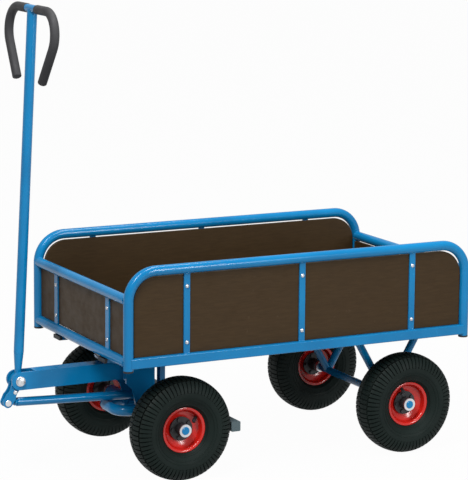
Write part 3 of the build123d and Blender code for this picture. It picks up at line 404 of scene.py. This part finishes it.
def tread_rubber(name, middle):
    """Rubber with speckle, dull dust in the grooves and darker worn tops."""
    material, tree, shader = new_finish(name)
    skin = tree.nodes.new("ShaderNodeGroup")
    skin.node_tree = coat_skin
    place = tree.nodes.new("ShaderNodeTexCoord")
    centred = tree.nodes.new("ShaderNodeMapping")
    centred.inputs["Location"].default_value = [-v * MM for v in middle]
    flat = tree.nodes.new("ShaderNodeVectorMath")
    flat.operation = "MULTIPLY"
    flat.inputs[1].default_value = (1, 0, 1)
    radius = tree.nodes.new("ShaderNodeVectorMath")
    radius.operation = "LENGTH"
    tree.links.new(place.outputs["Object"], centred.inputs["Vector"])
    tree.links.new(centred.outputs["Vector"], flat.inputs[0])
    tree.links.new(flat.outputs["Vector"], radius.inputs[0])
    low = spanned(tree, radius.outputs["Value"], 0.0, 1.0, *GROOVE_RISE)
    high = spanned(tree, radius.outputs["Value"], 1.0, 0.0, *GROOVE_FALL)
    groove = tree.nodes.new("ShaderNodeMath")
    groove.operation = "MULTIPLY"
    tree.links.new(low, groove.inputs[0])
    tree.links.new(high, groove.inputs[1])
    tone = mixed(tree, skin.outputs["Tone"], RUBBER_DEEP, RUBBER_BRIGHT)
    dusty = mixed(tree, groove.outputs["Value"], tone, RUBBER_DUST, GROOVE_DUST)
    dusty = mixed(tree, skin.outputs["Rub"], dusty, RUBBER_DUST, SPECKLE_DUST)
    tree.links.new(dusty, shader.inputs["Base Color"])
    tree.links.new(spanned(tree, skin.outputs["Gloss"], *RUBBER_ROUGHNESS), shader.inputs["Roughness"])
    grain = bumped(tree, skin.outputs["Peel"], RUBBER_GRAIN, RUBBER_GRAIN_DEPTH)
    tree.links.new(grain, shader.inputs["Normal"])
    shader.inputs["Specular IOR Level"].default_value = RUBBER_SHINE
    return material


lying = Matrix.Rotation(-math.pi / 2, 4, "X")
tyre_section = TYRE_HALF + tuple((r, -y) for r, y in reversed(TYRE_HALF))
step_angle = 2 * math.pi / TREAD_STEPS
for wheel, middle, _ in WHEELS:
    shape = bmesh.new()
    turned(shape, tyre_section, lying, TREAD_STEPS, closed=True)
    lugs = []
    for face in shape.faces:
        spot = face.calc_center_median()
        step = int((math.atan2(spot.z, spot.x) % (2 * math.pi)) / step_angle)
        if math.hypot(spot.x, spot.z) > LUG_FADE[0] * MM and raised(step, spot.y / MM):
            lugs.append(face)
    grown = bmesh.ops.extrude_face_region(shape, geom=lugs)
    for vert in grown["geom"]:
        if isinstance(vert, bmesh.types.BMVert):
            reach = math.hypot(vert.co.x, vert.co.z)
            hub = Vector((vert.co.x / reach, 0, vert.co.z / reach)) * SECTION_R * MM
            fade = (reach / MM - LUG_FADE[0]) / (LUG_FADE[1] - LUG_FADE[0])
            vert.co += (vert.co - hub).normalized() * LUG_H * MM * min(1.0, max(LUG_LEAST, fade))
    bmesh.ops.translate(shape, verts=shape.verts, vec=Vector(middle) * MM)
    tyre = piece_from(f"{wheel}_block_tyre", shape, tread_rubber(f"{wheel}_rubber", middle), TYRE_CREASE)
    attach(tyre, f"wheel_{wheel}")
    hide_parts(f"{wheel}_tyre")

# Air tubes. Soft black rubber tubes fill the tyres, and their valve stems come out through the
# rims and stand in the dish of each wheel.
AIR_TUBE_TONES = ((0.008, 0.008, 0.009), (0.015, 0.015, 0.016), (0.03, 0.03, 0.03))
tube_rubber = coated("tube_rubber", AIR_TUBE_TONES, gloss=(0.4, 0.6))
dress(tube_rubber, *[f"{wheel}_inner_tube" for wheel, _, _ in WHEELS])

# Valve caps. Small black plastic caps with a ribbed skirt are screwed onto the valve stems, which
# lean out of each rim at their own place round the wheel.
VALVE_TURNS = {    # degrees round the axle
    "front_left": -146, "front_right": -40, "rear_left": -71, "rear_right": 160,
}
VALVE_FOOT = (62, -4)    # (radius, distance out of the wheel's middle)
VALVE_TIP = (33, 20)
CAP_SKIRT = ((0, -7.0), (4.15, -7.0), (4.7, -6.4), (4.7, 0.2), (4.2, 1.0), (3.2, 1.5), (0, 1.6))
CAP_RIBS = 24
CAP_RIB_H = 0.35
for wheel, middle, side in WHEELS:
    spin = Matrix.Rotation(math.radians(VALVE_TURNS[wheel]), 3, "Y")
    foot, tip = (spin @ Vector((r, side * y, 0)) for r, y in (VALVE_FOOT, VALVE_TIP))
    shape = bmesh.new()
    turned(shape, CAP_SKIRT, Matrix.Identity(4), 2 * CAP_RIBS)
    for vert in shape.verts:
        step = round(math.atan2(vert.co.y, vert.co.x) / (math.pi / CAP_RIBS))
        if step % 2 and math.hypot(vert.co.x, vert.co.y) > CAP_SKIRT[1][0] * MM:
            vert.co.xy -= vert.co.xy.normalized() * CAP_RIB_H * MM
    bmesh.ops.transform(shape, matrix=facing(Vector(middle) + tip, tip - foot), verts=shape.verts)
    cap = piece_from(f"{wheel}_valve_cap", shape, black_plastic)
    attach(cap, f"wheel_{wheel}")

# Rims. Two pressed steel dishes are bolted back to back in each wheel, with a rolled lip that
# holds the tyre and a gutter inside it. Bright red gloss enamel.
RED_DEEP = (0.43, 0.008, 0.005)
RED_BRIGHT = (0.54, 0.014, 0.009)
RED_RUB = (0.60, 0.05, 0.045)
RIM_LINE = (
    (16.7, 1.25), (29.0, 1.25), (33.5, 2.0), (43.0, 5.9), (46.6, 8.4), (48.5, 11.2), (48.9, 14.0),
    (48.9, 18.6), (49.5, 21.4), (51.1, 23.5), (53.4, 24.6), (55.9, 24.6), (57.2, 23.8),
)
RIM_SHEET = 1.9
RIM_STEPS = 96
red_enamel = coated(
    "red_enamel", (RED_DEEP, RED_BRIGHT, RED_RUB), gloss=(0.16, 0.26), shine=0.4, coat=0.2, dust=0.05
)
for wheel, middle, _ in WHEELS:
    shape = bmesh.new()
    for dish in (1, -1):
        place = facing(middle, (0, dish, 0))
        made = set(turned(shape, RIM_LINE, place, RIM_STEPS))
        sheet = [face for face in shape.faces if face.verts[0] in made]
        bmesh.ops.recalc_face_normals(shape, faces=sheet)
        bmesh.ops.solidify(shape, geom=sheet, thickness=RIM_SHEET * MM)
    rim = piece_from(f"{wheel}_pressed_rim", shape, red_enamel)
    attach(rim, f"wheel_{wheel}")
    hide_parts(f"{wheel}_rim")

# Hubs and rim bolts. Dark moulded hubs carry the rims between two flanges, and five black bolts
# clamp the dishes. Steel bushes inside run on the axle.
HUB_TONES = ((0.016, 0.017, 0.019), (0.028, 0.029, 0.032), (0.05, 0.05, 0.052))
BOLT_TONES = ((0.03, 0.03, 0.032), (0.05, 0.05, 0.054), (0.10, 0.10, 0.10))
hub_plastic = coated("hub_plastic", HUB_TONES, gloss=(0.36, 0.52), shine=0.35)
black_bolt = coated("black_bolt", BOLT_TONES, gloss=(0.3, 0.45), shine=0.5, metal=0.7)
for wheel, _, _ in WHEELS:
    dress(hub_plastic, f"{wheel}_hub")
    dress(black_bolt, f"{wheel}_rim_bolts")

# Drawbar. A round tube swaged at its foot, a pivot boss with the brake lever's two cheeks, and
# the looped handle bar, welded together and coated blue.
dress(blue_coat, "drawbar_tube", "drawbar_foot", "handle_bar")

# Drawbar bolts. A hexagon bolt with washers and a nut carries the drawbar in the arm's fork, and a
# headed pin and a small bolt go through the lever. All are zinc plated.
PIVOT_X, _, PIVOT_Z = JOINT_PLACES["drawbar_tilt"]
LEVER_X, _, LEVER_Z = JOINT_PLACES["brake_rod_swing"]
FORK_FACE = 20.3
WASHER_H = 1.6
WASHER = ((6.0, 0), (12.4, 0), (12.4, 1.3), (12.1, WASHER_H), (6.0, WASHER_H))
WASHER_STEPS = 40
HEX_R = 10.8
HEX_H = 5.6
HEX_BEVEL = 0.7
BOLT_END = ((0, 0), (6.0, 0), (6.0, 4.0), (5.2, 4.9), (0, 4.9))
PIN_HEAD = ((0, 0), (8.0, 0), (8.0, 1.6), (7.5, 2.15), (0, 2.15))
LEVER_BOLT_HEAD = ((0, 0), (5.5, 0), (5.5, 1.0), (4.6, 1.8), (3.0, 2.15), (0, 2.2))
LEVER_FACE = 12.0
LEVER_BOLT_X = PIVOT_X + 10.6
LEVER_BOLT_Z = PIVOT_Z - 28.4
BOLT_END_STEPS, PIN_STEPS, LEVER_BOLT_STEPS = 28, 32, 24
shape = bmesh.new()
for side in (1, -1):
    out = (0, side, 0)
    turned(shape, WASHER, facing((PIVOT_X, side * FORK_FACE, PIVOT_Z), out), WASHER_STEPS, closed=True)
    head = facing((PIVOT_X, side * (FORK_FACE + WASHER_H + HEX_H / 2), PIVOT_Z), out)
    hexagon = bmesh.ops.create_cone(
        shape, cap_ends=True, segments=6, radius1=HEX_R * MM, radius2=HEX_R * MM,
        depth=HEX_H * MM, matrix=head,
    )["verts"]
    rims = list(dict.fromkeys(edge for vert in hexagon for edge in vert.link_edges))
    bmesh.ops.bevel(
        shape, geom=rims, offset=HEX_BEVEL * MM, affect="EDGES", segments=2, profile=0.5, material=-1
    )
    turned(shape, PIN_HEAD, facing((LEVER_X, side * LEVER_FACE, LEVER_Z), out), PIN_STEPS)
    lever_bolt = facing((LEVER_BOLT_X, side * LEVER_FACE, LEVER_BOLT_Z), out)
    turned(shape, LEVER_BOLT_HEAD, lever_bolt, LEVER_BOLT_STEPS)
bolt_end = facing((PIVOT_X, -FORK_FACE - WASHER_H - HEX_H, PIVOT_Z), (0, -1, 0))
turned(shape, BOLT_END, bolt_end, BOLT_END_STEPS)
bolts = piece_from("drawbar_pivot_bolts", shape, zinc)
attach(bolts, "drawbar")
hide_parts("drawbar_bolts")

# Grips. Soft dark grey sleeves are pushed over the bent ends of the handle, with a bead at the
# open end and a rounded tip. The foam has a fine matt grain.
LEAN = math.radians(2.85)
HANDLE_H = 917
GRIP_START = 30
GRIP_R = 11.4
ARC_R = 57
ARC_Y = 87.7
ARC_TURN = math.radians(123.37)
TAIL = 98.8
GRIP_COLLAR = (
    (10.2, 0), (11.0, 0.4), (11.45, 1.4), (11.45, 3.2), (10.9, 4.2), (GRIP_R - 0.3, 5.0), (GRIP_R, 7.0),
)
GRIP_TIP = ((11.2, 1.2), (10.5, 2.4), (9.0, 3.3), (6.0, 3.8), (2.5, 3.95))
FOAM_DEEP = (0.027, 0.027, 0.029)
FOAM_BRIGHT = (0.040, 0.040, 0.043)
FOAM_RUB = (0.085, 0.085, 0.088)
GRIP_SEGMENTS = 32
GRIP_BEND_STEPS = 30
GRIP_CREASE = 50
foam = coated(
    "grip_foam", (FOAM_DEEP, FOAM_BRIGHT, FOAM_RUB), gloss=(0.55, 0.75), shine=0.25, dust=0.12, peel=0.35
)
HANDLE_PLANE = Matrix.Translation(Vector((PIVOT_X, 0, PIVOT_Z)) * MM) @ Matrix((
    (0, -math.sin(LEAN), math.cos(LEAN), 0),
    (1, 0, 0, 0),
    (0, math.cos(LEAN), math.sin(LEAN), 0),
    (0, 0, 0, 1),
))


def ring_on(shape, ring, scale, along):
    """Grows a ring of edges: extrudes it, moves it along a direction and scales it about its middle."""
    grown = bmesh.ops.extrude_edge_only(shape, edges=ring)["geom"]
    verts = [v for v in grown if isinstance(v, bmesh.types.BMVert)]
    bmesh.ops.translate(shape, verts=verts, vec=along)
    centre = sum((v.co for v in verts), Vector()) / len(verts)
    bmesh.ops.scale(shape, verts=verts, vec=(scale, scale, scale), space=Matrix.Translation(-centre))
    return [e for e in grown if isinstance(e, bmesh.types.BMEdge)]


for name, side in (("left", 1), ("right", -1)):
    shape = bmesh.new()
    start = Matrix.Translation(Vector((side * GRIP_START, HANDLE_H, 0)) * MM)
    first = bmesh.ops.create_circle(
        shape, segments=GRIP_SEGMENTS, radius=GRIP_COLLAR[0][0] * MM,
        matrix=start @ Matrix.Rotation(math.pi / 2, 4, "Y"),
    )["verts"]
    ring = list(dict.fromkeys(edge for vert in first for edge in vert.link_edges))
    for (r, u), (next_r, next_u) in zip(GRIP_COLLAR, GRIP_COLLAR[1:]):
        ring = ring_on(shape, ring, next_r / r, Vector((side * (next_u - u) * MM, 0, 0)))
    level = ARC_Y - GRIP_START - GRIP_COLLAR[-1][1]
    ring = ring_on(shape, ring, 1.0, Vector((side * level * MM, 0, 0)))
    corner = list(dict.fromkeys(vert for edge in ring for vert in edge.verts))
    bent = bmesh.ops.spin(
        shape, geom=corner + ring, cent=Vector((side * ARC_Y, HANDLE_H - ARC_R, 0)) * MM,
        axis=(0, 0, -side), angle=ARC_TURN, steps=GRIP_BEND_STEPS,
    )["geom_last"]
    ring = [edge for edge in bent if isinstance(edge, bmesh.types.BMEdge)]
    heading = Vector((side * math.cos(ARC_TURN), -math.sin(ARC_TURN), 0))
    ring = ring_on(shape, ring, 1.0, heading * TAIL * MM)
    r, u = GRIP_R, 0.0
    for next_r, next_u in GRIP_TIP:
        ring = ring_on(shape, ring, next_r / r, heading * (next_u - u) * MM)
        r, u = next_r, next_u
    bmesh.ops.contextual_create(shape, geom=ring)
    bmesh.ops.transform(shape, matrix=HANDLE_PLANE, verts=shape.verts)
    grip = piece_from(f"grip_sleeve_{name}", shape, foam, GRIP_CREASE)
    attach(grip, "drawbar")
    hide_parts(f"grip_{name}")

# Brake. A rod with a threaded eye moves two hangers and the square bar behind the front treads.
# Rod, eye and hangers are coated blue, the bar has a dull grey-green coat, the pin is zinc plated,
# and the shaft that the hangers turn on is greased steel. The dark grey-green of the bar and its end
# caps is partly painted shade, the dark they show in the shadow under the bed.
# Dark grey-green tones of the bar and its caps, partly their coat and partly painted shade.
BAR_DEEP = (0.050, 0.075, 0.085)
BAR_BRIGHT = (0.070, 0.105, 0.118)
BAR_RUB = (0.11, 0.13, 0.14)
bar_coat_and_shade = coated("bar_coat_and_shade", (BAR_DEEP, BAR_BRIGHT, BAR_RUB), gloss=(0.4, 0.55), shine=0.35)
dress(blue_coat, "brake_rod", "rod_eye", "rod_nut", "brake_arms")
dress(bar_coat_and_shade, "brake_bar", "brake_bar_caps")
dress(zinc, "brake_rod_pin")
dress(greased_steel, "brake_shaft")

# Weld beads. Where tubes, straps and plates meet, a row of small overlapping drops of weld metal runs
# round the joint. They are coated blue with the frame, the bogie and the drawbar that they hold.
BEAD_R = 1.9
BEAD_STEP = 2.4
BEAD_SEGMENTS = (8, 5)
BEAD_CREASE = 60
SADDLE_STRETCH = 1.2    # a saddle line round a tube is this much longer than its circle
LEG_X = 475
LEG_Y = 279
TUBE_R = 12.5
END_TOP_Z = 471.5
RAIL_TOP_Z = 330
STRAP_TOP_Z = 528.2
STRAP_HALF = 8
END_STRAP_HALF = 10
END_STRAP_ZS = (330.6, 458.9)
STRUT_SPREAD = 102
STRUT_Y = 154
STRUT_RING = (11.6, 10.0)
STRUT_TOP_Z = 304.6
CHEEK_FACE_Y = 40
CHEEK_SPAN = (-22, 57)
DISC_UNDER_Z = 267
BEAM_R = 19
BOW_R = 14
BOW_Y = 56
BOW_Z = 139.5
CROSS_BAR_R = 10
FOOT_R = 8.5
BOSS_R = 17


def bead_row(shape, path, length):
    """Drops along a path, which gives a point in mm for a share from 0 to 1 of its length."""
    count = max(2, round(length / BEAD_STEP))
    around, along = BEAD_SEGMENTS
    for step in range(count):
        place = Matrix.Translation(Vector(path((step + 0.5) / count)) * MM)
        bmesh.ops.create_uvsphere(
            shape, u_segments=around, v_segments=along, radius=BEAD_R * MM, matrix=place
        )


def straight(first, last):
    """Path from one point to another."""
    return lambda share: Vector(first).lerp(Vector(last), share)


chassis_beads = bmesh.new()
rear_x = JOINT_PLACES["rear_left_spin"][0]
for side in (1, -1):
    for x in SIDE_POST_XS:
        for z in (RAIL_TOP_Z, STRAP_TOP_Z):
            ends = [(x + half, side * SIDE_FACE_Y, z) for half in (-STRAP_HALF, STRAP_HALF)]
            bead_row(chassis_beads, straight(*ends), 2 * STRAP_HALF)
    for end in (1, -1):
        face = BED_X + end * END_FACE_X
        for z in END_STRAP_ZS:
            y = side * END_POST_YS[1]
            ends = [(face, y + half, z) for half in (-END_STRAP_HALF, END_STRAP_HALF)]
            bead_row(chassis_beads, straight(*ends), 2 * END_STRAP_HALF)

        def round_rail(share, x=BED_X + end * LEG_X, side=side):
            """Saddle line where an upper end rail meets a leg."""
            turn = 2 * math.pi * share
            height = TUBE_R * math.sin(turn)
            x += (TUBE_R - BEAD_R) * math.cos(turn)
            return x, side * (LEG_Y - abs(height)), END_TOP_Z + height

        def round_strut(share, x=rear_x + end * STRUT_SPREAD, side=side):
            """Oval where a strut meets the cross member above it."""
            turn = 2 * math.pi * share
            x += STRUT_RING[0] * math.cos(turn)
            return x, side * STRUT_Y + STRUT_RING[1] * math.sin(turn), STRUT_TOP_Z

        bead_row(chassis_beads, round_rail, SADDLE_STRETCH * 2 * math.pi * TUBE_R)
        bead_row(chassis_beads, round_strut, 2 * math.pi * STRUT_RING[0])

bogie_beads = bmesh.new()
axle_x, _, axle_z = JOINT_PLACES["front_left_spin"]
for side in (1, -1):
    ends = [(axle_x + x, side * CHEEK_FACE_Y, DISC_UNDER_Z) for x in CHEEK_SPAN]
    bead_row(bogie_beads, straight(*ends), CHEEK_SPAN[1] - CHEEK_SPAN[0])

    def over_beam(share, side=side):
        """Half circle where the beam goes through a cheek."""
        turn = math.pi * share
        return axle_x + BEAM_R * math.cos(turn), side * CHEEK_FACE_Y, axle_z + BEAM_R * math.sin(turn)

    def round_bow(share, side=side):
        """Saddle line where the bent tube meets the beam."""
        turn = 2 * math.pi * share
        z = BOW_Z + BOW_R * math.sin(turn)
        reach = math.sqrt(max(0.0, BEAM_R**2 - (z - axle_z) ** 2))
        return axle_x + reach, side * BOW_Y + BOW_R * math.cos(turn), z

    bead_row(bogie_beads, over_beam, math.pi * BEAM_R)
    bead_row(bogie_beads, round_bow, 2 * math.pi * BOW_R)

drawbar_beads = bmesh.new()


def round_foot(share):
    """Saddle line where the tube meets the pivot boss."""
    turn = 2 * math.pi * share
    out = FOOT_R * math.sin(turn)
    up = math.sqrt(BOSS_R**2 - out**2)
    return HANDLE_PLANE @ (Vector((FOOT_R * math.cos(turn), up, out)) * MM) / MM


bead_row(drawbar_beads, round_foot, 2 * math.pi * FOOT_R)
for side in (1, -1):

    def under_cross_bar(share, side=side):
        """Saddle line where the tube's top meets the handle bar from below."""
        turn = math.asin(CROSS_BAR_R / TUBE_R) * (2 * share - 1)
        out = TUBE_R * math.sin(turn)
        drop = math.sqrt(max(0.0, CROSS_BAR_R**2 - out**2))
        return HANDLE_PLANE @ (Vector((side * TUBE_R * math.cos(turn), HANDLE_H - drop, out)) * MM) / MM

    bead_row(drawbar_beads, under_cross_bar, SADDLE_STRETCH * 2 * CROSS_BAR_R)

for body, shape in (("chassis", chassis_beads), ("bogie", bogie_beads), ("drawbar", drawbar_beads)):
    beads = piece_from(f"{body}_weld_beads", shape, blue_coat, BEAD_CREASE)
    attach(beads, body)

# Studio. A plain white floor fills the view, and soft lamps stand to the left, to the right and
# overhead. Floor and world look white to the eye, the world is dimmer in gloss, the floor keeps shadows.
FLOOR_SIZE = 60
FLOOR_TONE = (0.42, 0.42, 0.42)
FLOOR_WHITE_SHARE = 0.975
WORLD_LEVEL = 0.20
WORLD_GLOSS = 0.55
LAMPS = (    # name, place, aim, size, power
    ("key", (2.6, 2.4, 4.4), (0, 0, 0.4), (0.9, 2.4), 235),
    ("fill", (-1.8, 4.8, 1.9), (0, 0, 0.4), (0.8, 2.4), 115),
    ("top", (-0.5, 0.3, 4.2), (-0.1, 0, 0), (3.2, 0.9), 118),
)


def seen_rays(tree):
    """1 for rays of the eye and of gloss or glass, 0 for rays that carry light."""
    path = tree.nodes.new("ShaderNodeLightPath")
    seen = path.outputs["Is Camera Ray"]
    for ray in ("Is Glossy Ray", "Is Transmission Ray"):
        either = tree.nodes.new("ShaderNodeMath")
        either.operation = "MAXIMUM"
        tree.links.new(seen, either.inputs[0])
        tree.links.new(path.outputs[ray], either.inputs[1])
        seen = either.outputs["Value"]
    return seen


shape = bmesh.new()
bmesh.ops.create_grid(shape, x_segments=1, y_segments=1, size=FLOOR_SIZE)
floor_mesh = bpy.data.meshes.new("floor")
shape.to_mesh(floor_mesh)
shape.free()
floor = bpy.data.objects.new("floor", floor_mesh)
bpy.context.scene.collection.objects.link(floor)
floor_white = bpy.data.materials.new("floor_white")
floor_white.use_nodes = True
tree = floor_white.node_tree
tree.nodes.clear()
lit = tree.nodes.new("ShaderNodeBsdfDiffuse")
lit.inputs["Color"].default_value = (*FLOOR_TONE, 1)
plain = tree.nodes.new("ShaderNodeEmission")
blend = tree.nodes.new("ShaderNodeMixShader")
out = tree.nodes.new("ShaderNodeOutputMaterial")
tree.links.new(spanned(tree, seen_rays(tree), 0.0, FLOOR_WHITE_SHARE), blend.inputs["Fac"])
tree.links.new(lit.outputs["BSDF"], blend.inputs[1])
tree.links.new(plain.outputs["Emission"], blend.inputs[2])
tree.links.new(blend.outputs["Shader"], out.inputs["Surface"])
floor_mesh.materials.append(floor_white)

world = bpy.data.worlds.new("studio")
bpy.context.scene.world = world
world.use_nodes = True
tree = world.node_tree
brightest = tree.nodes.new("ShaderNodeMath")
brightest.operation = "MAXIMUM"
tree.links.new(spanned(tree, seen_rays(tree), WORLD_LEVEL, WORLD_GLOSS), brightest.inputs[0])
tree.links.new(tree.nodes.new("ShaderNodeLightPath").outputs["Is Camera Ray"], brightest.inputs[1])
tree.links.new(brightest.outputs["Value"], tree.nodes["Background"].inputs["Strength"])
tree.nodes["Background"].inputs["Color"].default_value = (1, 1, 1, 1)

for name, place, aim, size, power in LAMPS:
    lamp = bpy.data.lights.new(name, "AREA")
    lamp.shape = "RECTANGLE"
    lamp.size, lamp.size_y = size
    lamp.energy = power
    holder = bpy.data.objects.new(name, lamp)
    holder.location = place
    holder.rotation_euler = (Vector(aim) - Vector(place)).to_track_quat("-Z", "Y").to_euler()
    bpy.context.scene.collection.objects.link(holder)

# Camera. A long lens stands to the front left of the cart, a little above its walls, and looks at
# the bed with the drawbar at the left edge of the picture.
CAMERA_PLACE = (2.67575, 5.2861, 1.6119)
CAMERA_TURN = (152.699, 10.191, 0.504)    # azimuth, elevation and roll in degrees
FOCAL_PIXELS = 2353.9
FRAME_PIXELS = 480
SENSOR_WIDTH = 36
VIEW_END = 200
lens = bpy.data.cameras.new("camera")
lens.sensor_width = SENSOR_WIDTH
lens.lens = FOCAL_PIXELS / FRAME_PIXELS * lens.sensor_width
lens.clip_end = VIEW_END
camera = bpy.data.objects.new("camera", lens)
azimuth, elevation, roll = (math.radians(angle) for angle in CAMERA_TURN)
camera.matrix_world = (
    Matrix.Translation(CAMERA_PLACE)
    @ Matrix.Rotation(azimuth, 4, "Z")
    @ Matrix.Rotation(math.pi / 2 - elevation, 4, "X")
    @ Matrix.Rotation(roll, 4, "Z")
)
bpy.context.scene.collection.objects.link(camera)
bpy.context.scene.camera = camera
bpy.context.scene.view_settings.view_transform = "Standard"
